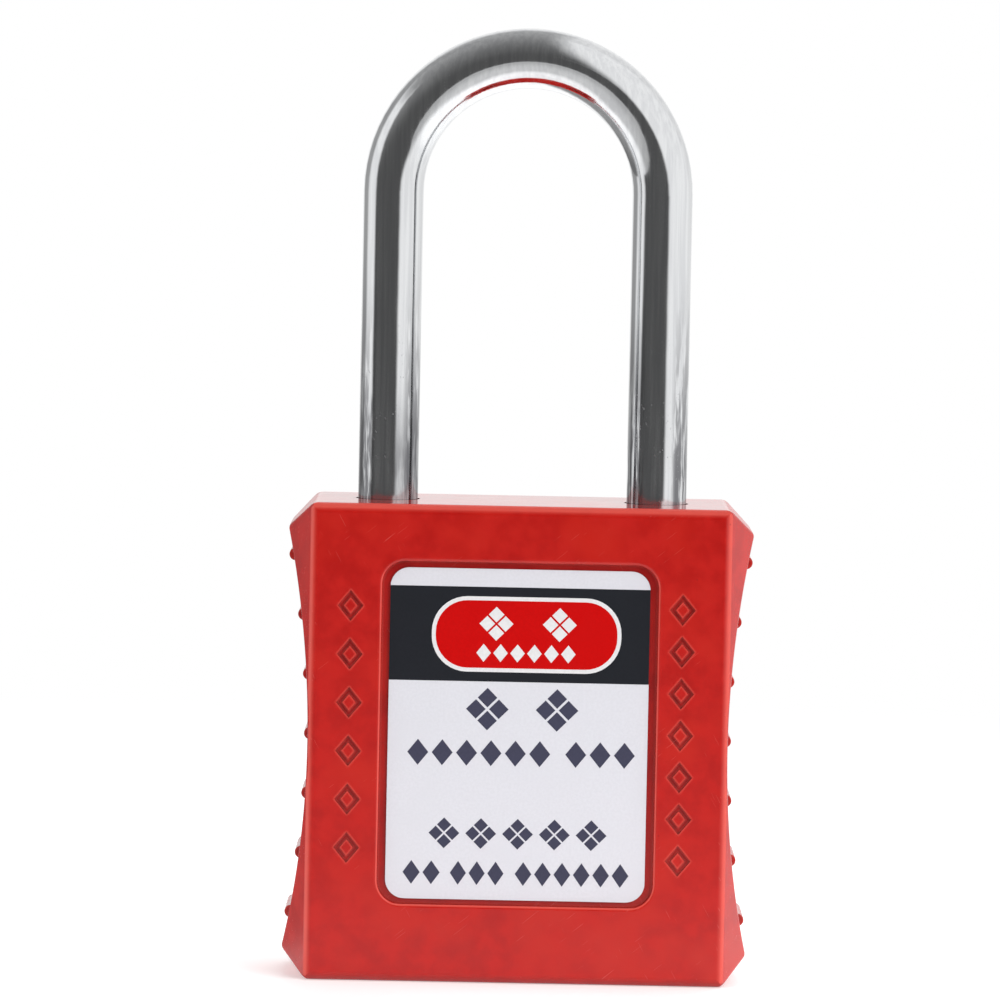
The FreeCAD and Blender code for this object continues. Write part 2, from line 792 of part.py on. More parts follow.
def keyway_corners():
    """The warded slot, open at the plug's -X side and ending keyway_reach past its axis."""
    first, second = (
        [(f"{x} * plug_radius", f"{y} * keyway_width / 2") for x, y in shares]
        for shares in (KEYWAY_SIDES, KEYWAY_OTHER_SIDES)
    )
    inner_end = [("keyway_reach", "-keyway_width / 2"), ("keyway_reach", "keyway_width / 4")]
    return first + inner_end + second


def chamber_row(body, name, start, length):
    """Round chambers across the cylinder, one for each pin stack, one above the other."""
    sketch = new_sketch(body, "YZ_Plane", name + "_round", start)
    add_circle(sketch, "0", "first_stack", "chamber_radius")
    first = pocket(body, sketch, name, length, Reversed=True)
    repeat_along(body, sketch, first, name + "_row", "stack_pitch", "stack_count")


def make_cylinder_housing():
    body = new_body("cylinder_housing")
    for name, radius, base, top in (
        ("nose", "nose_radius", "nose_base", "nose_top"),
        ("barrel", "barrel_radius", "nose_top", "barrel_top"),
    ):
        sketch = new_sketch(body, "XY_Plane", name + "_round", base)
        add_circle(sketch, "0", "0", radius)
        pad(body, sketch, name, f"({top}) - ({base})")
    bible = new_sketch(body, "XY_Plane", "bible_outline", "bible_base")
    add_rectangle(bible, "0", "-bible_width / 2", "bible_reach", "bible_width / 2")
    pad(body, bible, "bible", "barrel_top - bible_base")
    cut_up(
        body, "plug_bore", "nose_base", "barrel_top - nose_base",
        lambda s: add_circle(s, "0", "0", "plug_radius + bore_gap"),
    )
    cut_up(
        body, "flange_seat", "nose_base", "flange_top + channel_gap - nose_base",
        lambda s: add_circle(s, "0", "0", "flange_radius + channel_gap"),
    )
    chamber_row(body, "chamber", "0", "bible_reach")
    half = "cover_width / 2 + bore_gap"
    cut_up(
        body, "cover_slot", "cover_base - shell_gap", "barrel_top - cover_base + shell_gap",
        lambda s: add_rectangle(s, "cover_start", f"-({half})", "bible_reach + over_cut", half),
    )


def make_pin_cover():
    cover = doc.addObject("Part::Box", "pin_cover")
    cover.Label = "pin_cover"
    sizes = {"Length": "cover_thickness", "Width": "cover_width", "Height": "cover_height"}
    for key, text in sizes.items():
        cover.setExpression(key, bound(text))
    spots = {"x": "cover_start", "y": "-cover_width / 2", "z": "cover_base"}
    for axis, text in spots.items():
        cover.setExpression("Placement.Base." + axis, bound(text))


def make_plug():
    """The turning core. Its own +X is the way its pin chambers open."""
    body = new_body("plug")
    turned = new_sketch(body, "XZ_Plane", "turned_outline")
    seat_low, seat_high = "clip_base - channel_gap", "clip_base + clip_thickness + channel_gap"
    corners = [
        ("0", "flange_base"),
        ("flange_radius", "flange_base"),
        ("flange_radius", "flange_top"),
        ("plug_radius", "flange_top"),
        ("plug_radius", seat_low),
        ("clip_seat_radius", seat_low),
        ("clip_seat_radius", seat_high),
        ("plug_radius", seat_high),
        ("plug_radius", "plug_round_top"),
        ("0", "plug_round_top"),
    ]
    add_outline(turned, corners)
    revolve(body, turned, "core", "V_Axis")
    tail = new_sketch(body, "XY_Plane", "tail_outline", "plug_round_top")
    add_rectangle(tail, "-tail_length / 2", "-tail_width / 2", "tail_length / 2", "tail_width / 2")
    pad(body, tail, "tail", "tail_top - plug_round_top")
    cut_up(
        body, "keyway", "flange_base", "keyway_top - flange_base",
        lambda s: add_outline(s, keyway_corners()),
    )
    chamber_row(body, "chamber", "chamber_floor", "plug_radius - chamber_floor")
    place(body, turn=90)


def make_plug_clip():
    """An open spring ring in the groove at the plug's top."""
    body = new_body("plug_clip")
    ring = new_sketch(body, "XY_Plane", "ring_rounds", "clip_base")
    add_circle(ring, "0", "0", "clip_radius")
    add_circle(ring, "0", "0", "clip_seat_radius + channel_gap")
    pad(body, ring, "ring", "clip_thickness")
    cut_up(
        body, "mouth", "clip_base", "clip_thickness",
        lambda s: add_rectangle(s, "0", "-clip_mouth / 2", "clip_radius + over_cut", "clip_mouth / 2"),
    )


def make_pin(label, corners):
    """A turned pin about its own X axis."""
    body = new_body(label)
    sketch = new_sketch(body, "XZ_Plane", "turned_outline")
    add_outline(sketch, corners)
    revolve(body, sketch, "pin", "H_Axis")
    return body


def make_pin_stacks():
    """In each stack a key pin in the plug, then a driver pin and its spring in the housing."""
    for number, (level, length) in enumerate(zip(STACK_LEVELS, KEY_PIN_LENGTHS), start=1):
        key_corners = [
            (f"-{length}", "0"),
            ("0", "0"),
            ("0", "pin_radius - pin_bevel"),
            ("-pin_bevel", "pin_radius"),
            (f"-{length} + key_pin_point", "pin_radius"),
            (f"-{length}", "pin_bevel"),
        ]
        place(make_pin(f"key_pin_{number}", key_corners), y="key_pin_top", z=level, turn=90)
        driver_corners = [
            ("0", "0"),
            ("driver_length", "0"),
            ("driver_length", "pin_radius - pin_bevel"),
            ("driver_length - pin_bevel", "pin_radius"),
            ("driver_bevel", "pin_radius"),
            ("0", "pin_radius - driver_bevel"),
        ]
        place(make_pin(f"driver_pin_{number}", driver_corners), x="driver_start", z=level)
        spring = make_coil(
            f"driver_spring_{number}", "H_Axis", "pin_coil_radius", "pin_wire_radius",
            "driver_start + driver_length + bore_gap", "cover_start - bore_gap", "pin_coil_turns",
        )
        place(spring, z=level)


# ---------- the whole padlock ----------
make_shell("front_shell", FRONT)
make_shell("back_shell", BACK)
make_label("front_label", FRONT)
make_label("back_label", BACK)
make_shackle()
make_shackle_spring()
make_stop_pin()
make_latch_frame()
make_ball("ball_left", -1)
make_ball("ball_right", 1)
make_locking_cam()
make_cylinder_housing()
make_pin_cover()
make_plug()
make_plug_clip()
make_pin_stacks()
doc.recompute()

for item in doc.Objects:
    if {"Invalid", "Error"} & set(item.State):
        raise RuntimeError(f"{item.Name} failed: {item.State}")
sub_parts = [
    item
    for item in doc.Objects
    if item.TypeId in ("PartDesign::Body", "Part::Cylinder", "Part::Sphere", "Part::Box")
]
for item in sub_parts:
    if item.Shape.isNull() or not item.Shape.isValid():
        raise RuntimeError(f"{item.Label} has no valid shape")
os.makedirs("parts", exist_ok=True)
for item in sub_parts:
    item.Shape.exportStep(f"parts/{item.Label}.step")
print(len(sub_parts), "sub-parts written")
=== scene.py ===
"""Looks of a red safety padlock: materials, printed labels, springs, stage, lights and camera."""

import math

import bmesh
import bpy
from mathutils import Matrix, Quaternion, Vector


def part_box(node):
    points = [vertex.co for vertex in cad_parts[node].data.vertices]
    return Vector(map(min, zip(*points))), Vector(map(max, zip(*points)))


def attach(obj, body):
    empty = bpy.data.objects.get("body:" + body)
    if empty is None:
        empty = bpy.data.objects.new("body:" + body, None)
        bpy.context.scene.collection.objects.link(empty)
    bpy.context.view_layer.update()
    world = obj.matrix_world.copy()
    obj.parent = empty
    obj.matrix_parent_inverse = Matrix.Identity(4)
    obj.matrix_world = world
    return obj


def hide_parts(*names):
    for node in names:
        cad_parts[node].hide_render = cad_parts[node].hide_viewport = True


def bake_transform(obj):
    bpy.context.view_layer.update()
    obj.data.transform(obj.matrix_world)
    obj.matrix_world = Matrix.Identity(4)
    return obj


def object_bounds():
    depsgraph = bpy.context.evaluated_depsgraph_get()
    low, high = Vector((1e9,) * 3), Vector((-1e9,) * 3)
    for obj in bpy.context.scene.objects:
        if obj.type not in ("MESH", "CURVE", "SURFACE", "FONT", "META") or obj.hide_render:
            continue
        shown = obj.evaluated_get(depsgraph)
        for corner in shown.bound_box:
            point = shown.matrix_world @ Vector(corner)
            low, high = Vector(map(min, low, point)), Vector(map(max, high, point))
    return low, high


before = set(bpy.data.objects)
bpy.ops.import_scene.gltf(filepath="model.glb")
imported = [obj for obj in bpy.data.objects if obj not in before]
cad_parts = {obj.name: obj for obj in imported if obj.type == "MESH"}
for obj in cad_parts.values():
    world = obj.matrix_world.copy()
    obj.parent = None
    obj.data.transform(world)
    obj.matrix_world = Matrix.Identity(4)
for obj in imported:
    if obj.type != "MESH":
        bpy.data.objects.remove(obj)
cad_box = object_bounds()

MM = 0.001
BODY_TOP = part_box("front_shell")[1].z
OBJECT_MIDDLE = (cad_box[0].z + cad_box[1].z) / 2


# ---------- a small kit for node trees ----------
COLOUR_MIX_INPUTS = (0, 6, 7)       # a mix node's sockets for its share and its two colours
COLOUR_MIX_OUTPUT = 2


class Nodes:
    """A node tree whose nodes are added and linked by short calls."""

    def __init__(self, tree):
        self.tree = tree

    def add(self, kind, **settings):
        node = self.tree.nodes.new(kind)
        for key, setting in settings.items():
            setattr(node, key, setting)
        return node

    def put(self, node, socket, value):
        """Feeds a socket with a number, a colour or another node's output."""
        target = node.inputs[socket]
        if isinstance(value, bpy.types.NodeSocket):
            self.tree.links.new(value, target)
        elif target.type == "RGBA" and len(value) == 3:
            target.default_value = (*value, 1)
        else:
            target.default_value = value

    def maths(self, operation, first, second=0.0):
        node = self.add("ShaderNodeMath", operation=operation)
        self.put(node, 0, first)
        self.put(node, 1, second)
        return node.outputs[0]

    def product(self, first, *others):
        for other in others:
            first = self.maths("MULTIPLY", first, other)
        return first

    def total(self, first, second):
        return self.maths("ADD", first, second)

    def larger(self, first, second):
        return self.maths("MAXIMUM", first, second)

    def size_of(self, value):
        """A value without its sign."""
        return self.maths("ABSOLUTE", value)

    def inverse(self, value):
        """1 less a value, so that 0 and 1 change places."""
        return self.maths("SUBTRACT", 1.0, value)

    def ramp(self, value, low, high, out_low=0.0, out_high=1.0):
        """Maps low..high to out_low..out_high, with soft ends. Low may be the larger of the two."""
        node = self.add("ShaderNodeMapRange", interpolation_type="SMOOTHSTEP")
        self.put(node, "Value", value)
        self.put(node, "From Min", low)
        self.put(node, "From Max", high)
        self.put(node, "To Min", out_low)
        self.put(node, "To Max", out_high)
        return node.outputs[0]

    def parts(self, vector):
        """A vector's x, y and z."""
        split = self.add("ShaderNodeSeparateXYZ")
        self.put(split, "Vector", vector)
        return split.outputs["X"], split.outputs["Y"], split.outputs["Z"]

    def azimuth(self, x, y):
        """The angle about the upright axis: 0 towards the front (-Y), a quarter turn towards +X."""
        return self.maths("ARCTAN2", x, self.product(y, -1.0))

    def sector(self, rising, falling, left, right, soft):
        """1 between two azimuths in degrees, 0 outside. Each side is told by an azimuth of its own."""
        rise = self.ramp(rising, math.radians(left - soft), math.radians(left + soft))
        fall = self.ramp(falling, math.radians(right + soft), math.radians(right - soft))
        return self.product(rise, fall)


class Shader(Nodes):
    """A Principled material."""

    def __init__(self, name, **values):
        self.material = bpy.data.materials.new(name)
        self.material.use_nodes = True
        super().__init__(self.material.node_tree)
        self.surface = self.tree.nodes["Principled BSDF"]
        self.point = self.add("ShaderNodeTexCoord").outputs["Object"]
        for socket, value in values.items():
            self.put(self.surface, socket.replace("_", " "), value)

    def scaled(self, scale, turn=(0, 0, 0)):
        """The object's own coordinates in metres, turned and then scaled."""
        node = self.add("ShaderNodeMapping")
        turned = self.add("ShaderNodeVectorRotate", rotation_type="EULER_XYZ")
        self.put(turned, "Vector", self.point)
        self.put(turned, "Rotation", turn)
        self.put(node, "Vector", turned.outputs[0])
        self.put(node, "Scale", scale)
        return node.outputs[0]

    def noise(self, scale, detail=3, roughness=0.55, turn=(0, 0, 0)):
        """Noise whose features are about 1/scale metres across, or stretched if scale has three parts."""
        node = self.add("ShaderNodeTexNoise")
        stretched = (scale,) * 3 if isinstance(scale, (int, float)) else scale
        self.put(node, "Vector", self.scaled(stretched, turn))
        self.put(node, "Scale", 1.0)
        self.put(node, "Detail", detail)
        self.put(node, "Roughness", roughness)
        return node.outputs[0]

    def mix(self, share, first, second):
        """A colour between two colours."""
        node = self.add("ShaderNodeMix", data_type="RGBA")
        for socket, value in zip(COLOUR_MIX_INPUTS, (share, first, second)):
            self.put(node, socket, value)
        return node.outputs[COLOUR_MIX_OUTPUT]

    def below(self, level, fade):
        """1 below a level and 0 above it, over a fade in metres."""
        height = self.parts(self.point)[2]
        return self.inverse(self.ramp(height, level - fade, level + fade))

    def facing(self):
        """The surface normal's x, y and z."""
        return self.parts(self.add("ShaderNodeNewGeometry").outputs["Normal"])

    def edges(self, radius, gain):
        """1 on edges and corners sharper than the radius, 0 on flat ground."""
        rounded = self.add("ShaderNodeBevel", samples=6)
        self.put(rounded, "Radius", radius)
        plain = self.add("ShaderNodeNewGeometry")
        dot = self.add("ShaderNodeVectorMath", operation="DOT_PRODUCT")
        self.put(dot, 0, rounded.outputs[0])
        self.put(dot, 1, plain.outputs["Normal"])
        return self.ramp(self.inverse(dot.outputs["Value"]), 0.0, gain)

    def bump(self, height, depth, strength=1.0):
        """Relief of a depth in metres over the surface's normal."""
        node = self.add("ShaderNodeBump")
        self.put(node, "Height", height)
        self.put(node, "Distance", depth)
        self.put(node, "Strength", strength)
        self.put(self.surface, "Normal", node.outputs[0])

    def scratches(self, width, length, share, turn):
        """Short thin marks along one direction. A larger share keeps more of them."""
        threshold, soft = 0.745 - share, 0.01
        lines = self.noise((1 / width, 1 / width, 1 / length), 1, 0.4, turn)
        patches = self.noise(1 / (length * 2.5), 1)
        cut = self.ramp(lines, threshold - soft, threshold + soft)
        return self.product(cut, self.ramp(patches, 0.5, 0.62))

    def specks(self, spacing, radius, share):
        """Round dots, one to a cell at most, with only a share of the cells used."""
        node = self.add("ShaderNodeTexVoronoi")
        self.put(node, "Vector", self.scaled((1 / spacing,) * 3))
        self.put(node, "Scale", 1.0)
        dot = self.ramp(node.outputs["Distance"], radius / spacing, 0.6 * radius / spacing)
        split = self.add("ShaderNodeSeparateColor")
        self.put(split, 0, node.outputs["Color"])
        return self.product(dot, self.ramp(split.outputs[0], share, share - 0.01))


def dimmed(colour, share):
    """A colour with a share of its light taken away."""
    return tuple(part * (1 - share) for part in colour)


# ---------- red nylon ----------
NYLON_DARK = (0.43, 0.0060, 0.0042)
NYLON_LIGHT = (0.52, 0.0090, 0.0060)
NYLON_WARM = (0.53, 0.0130, 0.0070)
# Edge colour, for edge wear and for a painted highlight on the rounded rims
NYLON_WEAR_AND_HIGHLIGHT = (0.84, 0.125, 0.095)
NYLON_SCRATCH = (0.86, 0.20, 0.17)
NYLON_SPECK = (0.22, 0.006, 0.008)
# Painted shade, for hollows and recesses
NYLON_PAINTED_SHADE = (0.17, 0.0030, 0.0075)
TOP_GLOSS = 0.45


def painted_rim_highlight(s, towards):
    """How much a painted highlight lightens the rounded rims of the faces and the top, most where they look
    upwards.
    """
    towards_x, towards_y, towards_z = towards
    towards_face = s.size_of(towards_y)
    face_rim = s.ramp(towards_face, 0.42, 0.66)
    not_a_flank = s.ramp(s.size_of(towards_x), 0.3, 0.1)
    top_rim = s.product(not_a_flank, s.ramp(towards_z, 0.3, 0.6), s.ramp(towards_z, 0.999, 0.97))
    rim = s.product(s.ramp(towards_face, 1.0, 0.80), s.larger(face_rim, top_rim))
    return s.product(rim, s.ramp(towards_z, -0.45, -0.10, 0.12, 0.62))


def nylon_colour(s, towards, lines):
    """A slight mottle, edges paler from wear and from a painted highlight on the rims, paler scratches, dark
    specks and painted shade in hollows.
    """
    mottle = s.mix(s.ramp(s.noise(420, 4), 0.34, 0.66), NYLON_DARK, NYLON_LIGHT)
    warm = s.mix(s.ramp(s.noise(130, 2), 0.42, 0.72), mottle, NYLON_WARM)
    # Paler edges: edge wear from the bevel mask, plus a painted highlight on the rounded rims.
    edge = s.larger(s.product(s.edges(0.45 * MM, 0.16), 0.42), painted_rim_highlight(s, towards))
    worn_and_highlit = s.mix(edge, warm, NYLON_WEAR_AND_HIGHLIGHT)
    scratched = s.mix(s.product(lines, 0.22), worn_and_highlit, NYLON_SCRATCH)
    dots = s.specks(3.2 * MM, 0.11 * MM, 0.22)
    marked = s.mix(s.product(dots, 0.4), scratched, NYLON_SPECK)
    # Painted shade: the colour darkens where the surface is shut in by other surfaces.
    shut_in = s.add("ShaderNodeAmbientOcclusion", samples=8)
    s.put(shut_in, "Distance", 1.6 * MM)
    return s.mix(s.ramp(shut_in.outputs["AO"], 0.85, 0.25, 0.0, 0.46), marked, NYLON_PAINTED_SHADE)


def red_nylon():
    """Moulded nylon with a fine grain. The level top is smoother than the rest."""
    s = Shader("red_nylon", IOR=1.53, Specular_IOR_Level=0.36)
    towards = s.facing()
    lines = s.total(
        s.scratches(0.10 * MM, 4.5 * MM, 0.0, (0.0, 0.5, 0.0)),
        s.scratches(0.08 * MM, 3.0 * MM, 0.0, (0.0, -0.9, 0.0)),
    )
    s.put(s.surface, "Base Color", nylon_colour(s, towards, lines))
    polished = s.ramp(towards[2], 0.90, 0.99, 1.0, TOP_GLOSS)
    rough = s.ramp(s.noise(420, 3), 0.3, 0.7, 0.17, 0.25)
    s.put(s.surface, "Roughness", s.product(s.total(rough, s.product(lines, 0.2)), polished))
    grain = s.noise(2600, 2, 0.6)
    s.bump(s.maths("SUBTRACT", grain, s.product(lines, 0.8)), 0.005 * MM, polished)
    s.put(s.surface, "Subsurface Weight", 0.06)
    s.put(s.surface, "Subsurface Radius", (1.0 * MM, 0.25 * MM, 0.2 * MM))
    return s.material


# ---------- metals ----------
PLATE_DARK = (0.70, 0.71, 0.725)
PLATE_LIGHT = (0.79, 0.80, 0.81)
PLATE_SCUFF = (0.42, 0.42, 0.44)
PLATE_STREAK = (0.15, 0.15, 0.16)
PLATE_RUB = (0.17, 0.17, 0.18)
RING_PITCH = 0.16 * MM


def side_streaks(s, towards_x):
    """Dark streaks up the outer and inner sides of the legs, close above the body."""
    zone = s.below(BODY_TOP + 13 * MM, 11 * MM)
    flank = s.ramp(s.size_of(towards_x), 0.40, 0.62)
    streaks = s.ramp(s.noise((1500, 1500, 150), 3, 0.65), 0.37, 0.53)
    return s.product(streaks, zone, flank, 0.92)


def heel_rub(s, towards_x):
    """A rubbed patch at the foot of the left leg, on the side that looks at the other leg."""
    zone = s.below(BODY_TOP + 7 * MM, 5 * MM)
    left_leg = s.ramp(s.parts(s.point)[0], 1 * MM, -1 * MM)
    inner_side = s.ramp(towards_x, 0.08, 0.30)
    patches = s.ramp(s.noise((900, 900, 120), 3, 0.7), 0.30, 0.62, 0.35, 0.80)
    return s.product(patches, zone, inner_side, left_leg)


def bright_plate():
    """Plated steel: near mirror, with faint draw lines along the bar and wear low on the legs."""
    s = Shader("bright_plate", Metallic=1.0)
    draw = s.noise((2200, 2200, 70), 2)
    scuff_marks = s.scratches(0.16 * MM, 1.3 * MM, 0.03, (0.5, 0.3, 0.0))
    scuffs = s.product(scuff_marks, s.below(BODY_TOP + 14 * MM, 9 * MM))
    towards_x = s.facing()[0]
    tint = s.mix(s.ramp(draw, 0.35, 0.65), PLATE_DARK, PLATE_LIGHT)
    rubbed = s.mix(heel_rub(s, towards_x), tint, PLATE_RUB)
    streaked = s.mix(side_streaks(s, towards_x), rubbed, PLATE_STREAK)
    s.put(s.surface, "Base Color", s.mix(scuffs, streaked, PLATE_SCUFF))
    rough = s.ramp(draw, 0.3, 0.7, 0.075, 0.125)
    s.put(s.surface, "Roughness", s.total(rough, s.product(scuffs, 0.3)))
    s.bump(s.total(s.noise(200, 1), s.product(draw, 0.015)), 0.03 * MM)
    return s.material


def turned_rings(s):
    """Fine rings about the upright axis, as a lathe leaves them."""
    x, y, _ = s.parts(s.point)
    radius = s.maths("SQRT", s.total(s.maths("POWER", x, 2.0), s.maths("POWER", y, 2.0)))
    return s.maths("SINE", s.product(radius, math.tau / RING_PITCH))


def metal(name, dark, light, roughness, grain, turned=False):
    """Plain metal with a cast or machined grain. Turned metal has a lathe's rings too."""
    s = Shader(name, Metallic=1.0)
    pattern = s.noise(grain, 3)
    if turned:
        pattern = s.total(s.product(turned_rings(s), 0.16), pattern)
    glint = tuple(min(1.0, part * 1.25) for part in light)
    tone = s.mix(s.ramp(pattern, 0.3, 0.72), dark, light)
    s.put(s.surface, "Base Color", s.mix(s.product(s.edges(0.25 * MM, 0.2), 0.5), tone, glint))
    s.put(s.surface, "Roughness", s.ramp(pattern, 0.25, 0.75, roughness * 0.8, roughness * 1.25))
    s.bump(pattern, 0.008 * MM)
    return s.material


# ---------- films and inks ----------
def film(name, colour, roughness, grain=0.06, shine=0.11):
    """Printed or plain vinyl film: an even colour with a fine grain and faint handling marks."""
    s = Shader(name, IOR=1.49, Specular_IOR_Level=shine)
    tone = s.mix(s.ramp(s.noise(3800, 2), 0.35, 0.65), dimmed(colour, grain), colour)
    cloud = s.mix(s.ramp(s.noise(160, 3), 0.45, 0.75), tone, dimmed(colour, grain * 0.8))
    s.put(s.surface, "Base Color", cloud)
    marks = s.scratches(0.07 * MM, 3.5 * MM, 0.0, (0.0, 1.1, 0.0))
    rough = s.ramp(s.noise(500, 2), 0.3, 0.7, roughness * 0.88, roughness * 1.12)
    s.put(s.surface, "Roughness", s.total(rough, s.product(marks, 0.15)))
    s.bump(s.noise(1500, 2), 0.004 * MM)
    return s.material


RED_NYLON = red_nylon()
PLATE = bright_plate()
BRASS = metal("machined_brass", (0.50, 0.34, 0.13), (0.66, 0.49, 0.22), 0.30, 900, turned=True)
PIN_BRASS = metal("pin_brass", (0.55, 0.38, 0.15), (0.70, 0.52, 0.24), 0.22, 2400)
ZINC = metal("cast_zinc", (0.34, 0.34, 0.35), (0.50, 0.50, 0.51), 0.42, 1300)
STEEL = metal("plain_steel", (0.44, 0.44, 0.45), (0.60, 0.60, 0.61), 0.24, 1800)
VINYL = film("label_vinyl", (0.730, 0.730, 0.780), 0.42, grain=0.035, shine=0.5)
INK_BLACK = film("ink_black", (0.0175, 0.0190, 0.0240), 0.36)
INK_RED = film("ink_red", (0.590, 0.0025, 0.0025), 0.36)
INK_WHITE = film("ink_white", (0.80, 0.79, 0.80), 0.36)
INK_SLATE = film("ink_slate", (0.060, 0.060, 0.098), 0.36)

MATERIAL_OF = {
    "front_shell": RED_NYLON,
    "back_shell": RED_NYLON,
    "front_label": VINYL,
    "back_label": VINYL,
    "shackle": PLATE,
    "latch_frame": ZINC,
    "locking_cam": ZINC,
    "cylinder_housing": BRASS,
    "plug": BRASS,
    "pin_cover": PIN_BRASS,
    "plug_clip": STEEL,
    "stop_pin": STEEL,
    "ball_left": STEEL,
    "ball_right": STEEL,
    "shackle_spring": STEEL,
}


def dress_nodes():
    """Gives each CAD node its material. The pins and their springs go by the start of their names."""
    for name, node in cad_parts.items():
        fallback = STEEL if name.startswith("driver_spring") else PIN_BRASS
        node.data.materials.clear()
        node.data.materials.append(MATERIAL_OF.get(name, fallback))


# ---------- printed labels, in mm from the label's middle ----------
LAYER = 0.012 * MM
CORNER_STEPS = 10
BAND_Z, BAND_HEIGHT, BAND_CORNER = 9.45, 8.9, 0.02
OVAL_X, OVAL_WIDTH, OVAL_HEIGHT, OVAL_RIM = 0.65, 17.8, 7.1, 0.38
OVAL_ROUNDING = 0.47                # corner radius as a share of the height

# Signs are x, z and size. Words are left, right, number of letters, z and height.
OVAL_SIGNS = ((-2.2, 10.45, 3.2), (3.75, 10.45, 3.2))
OVAL_WORDS = ((-4.15, 5.4, 6, 7.7, 1.7),)
LARGE_SIGNS = ((-2.9, 2.4, 4.0), (3.65, 2.4, 4.0))
SMALL_SIGNS = tuple((-6.75 + 3.46 * step, -9.35, 2.9) for step in range(5))
LARGE_WORDS = ((-10.5, 3.25, 6, -1.75, 2.45), (4.35, 11.2, 3, -1.75, 2.45))
SMALL_WORDS = ((-10.7, -6.95, 2, -13.1, 2.25), (-6.25, -0.95, 3, -13.1, 2.25), (-0.15, 10.8, 6, -13.1, 2.25))


def rounded_outline(x, z, width, height, radius):
    """Points of a rounded rectangle about a centre."""
    points = []
    for side_x, side_z, start in ((1, 1, 0), (-1, 1, 90), (-1, -1, 180), (1, -1, 270)):
        centre_x = x + side_x * (width / 2 - radius)
        centre_z = z + side_z * (height / 2 - radius)
        for step in range(CORNER_STEPS + 1):
            angle = math.radians(start + 90 * step / CORNER_STEPS)
            points.append((centre_x + radius * math.cos(angle), centre_z + radius * math.sin(angle)))
    return points


def diamond(x, z, width, height):
    return [(x + width / 2, z), (x, z + height / 2), (x - width / 2, z), (x, z - height / 2)]


def sign(x, z, size):
    """Four small diamonds that stand together as one large one."""
    small, reach = size * 0.46, size * 0.27
    places = ((x + reach, z), (x - reach, z), (x, z + reach), (x, z - reach))
    return [diamond(*place, small, small) for place in places]


def word(left, right, letters, z, height):
    """A row of diamonds, one for each letter of a word."""
    pitch = (right - left) / letters
    return [diamond(left + pitch * (step + 0.5), z, pitch * 0.86, height) for step in range(letters)]


def marks(signs, words):
    """The diamonds of all these signs and words."""
    groups = [sign(*place) for place in signs] + [word(*place) for place in words]
    return [outline for group in groups for outline in group]


def add_piece(name, shape, material):
    """Makes an object of a bmesh, with its normals set right, and lets go of the bmesh."""
    bmesh.ops.recalc_face_normals(shape, faces=shape.faces)
    mesh = bpy.data.meshes.new(name)
    shape.to_mesh(mesh)
    shape.free()
    mesh.materials.append(material)
    piece = bpy.data.objects.new(name, mesh)
    bpy.context.scene.collection.objects.link(piece)
    return piece


def print_layer(label, suffix, outlines, layer, material):
    """Flat printed shapes a hair above a label's outer face, on the layer of this number."""
    low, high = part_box(label)
    outward = -1 if high.y < 0 else 1
    face = low.y if outward < 0 else high.y
    base_y = face + outward * LAYER * (layer - 1)
    middle = (low + high) / 2
    shape = bmesh.new()
    for outline in outlines:
        places = [(middle.x - outward * x * MM, base_y, middle.z + z * MM) for x, z in outline]
        ring = [shape.verts.new(place) for place in places]
        lifted = bmesh.ops.extrude_face_region(shape, geom=[shape.faces.new(ring)])["geom"]
        tops = [item for item in lifted if isinstance(item, bmesh.types.BMVert)]
        bmesh.ops.translate(shape, verts=tops, vec=(0, outward * LAYER, 0))
    piece = add_piece(f"{label}_{suffix}", shape, material)
    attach(piece, "body")


def oval(rim):
    """The oval's outline, drawn in by the width of a rim."""
    height = OVAL_HEIGHT - 2 * rim
    return rounded_outline(OVAL_X, BAND_Z, OVAL_WIDTH - 2 * rim, height, height * OVAL_ROUNDING)


def print_label(label):
    """A black band with a white-edged red oval, and diamonds in place of the letters and signs."""
    low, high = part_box(label)
    band = rounded_outline(0, BAND_Z, (high.x - low.x) / MM, BAND_HEIGHT, BAND_CORNER)
    print_layer(label, "band", [band], 1, INK_BLACK)
    print_layer(label, "oval_rim", [oval(0)], 2, INK_WHITE)
    print_layer(label, "oval", [oval(OVAL_RIM)], 3, INK_RED)
    print_layer(label, "oval_marks", marks(OVAL_SIGNS, OVAL_WORDS), 4, INK_WHITE)
    print_layer(label, "marks", marks(LARGE_SIGNS + SMALL_SIGNS, LARGE_WORDS + SMALL_WORDS), 1, INK_SLATE)


# ---------- springs, wound in the boxes of their CAD nodes ----------------
WIRE_CORNERS = 12
STEPS_PER_TURN = 40
X_AXIS, Z_AXIS = 0, 2


def coil_rings(low, high, axis, wire, turns):
    """Rings of points round the wire of a coil that fills a box along an axis."""
    middle = (low + high) / 2
    across, other = [number for number in range(3) if number != axis]
    coil_radius = (high[across] - low[across]) / 2 - wire
    start, finish = low[axis] + wire, high[axis] - wire
    along = Vector((0, 0, 0))
    along[axis] = 1
    steps = int(turns * STEPS_PER_TURN)
    rings = []
    for step in range(steps + 1):
        share = step / steps
        angle = math.tau * turns * share
        outward = Vector((0, 0, 0))
        outward[across], outward[other] = math.cos(angle), math.sin(angle)
        centre = middle + outward * coil_radius
        centre[axis] = start + (finish - start) * share
        corners = [math.tau * corner / WIRE_CORNERS for corner in range(WIRE_CORNERS)]
        rings.append([centre + (outward * math.cos(c) + along * math.sin(c)) * wire for c in corners])
    return rings


def skin(rings):
    """A closed tube through rings of points."""
    shape = bmesh.new()
    rings = [[shape.verts.new(point) for point in ring] for ring in rings]
    for one, other in zip(rings, rings[1:]):
        for corner in range(WIRE_CORNERS):
            following = (corner + 1) % WIRE_CORNERS
            shape.faces.new((one[corner], one[following], other[following], other[corner]))
    shape.faces.new(rings[0][::-1])
    shape.faces.new(rings[-1])
    return shape


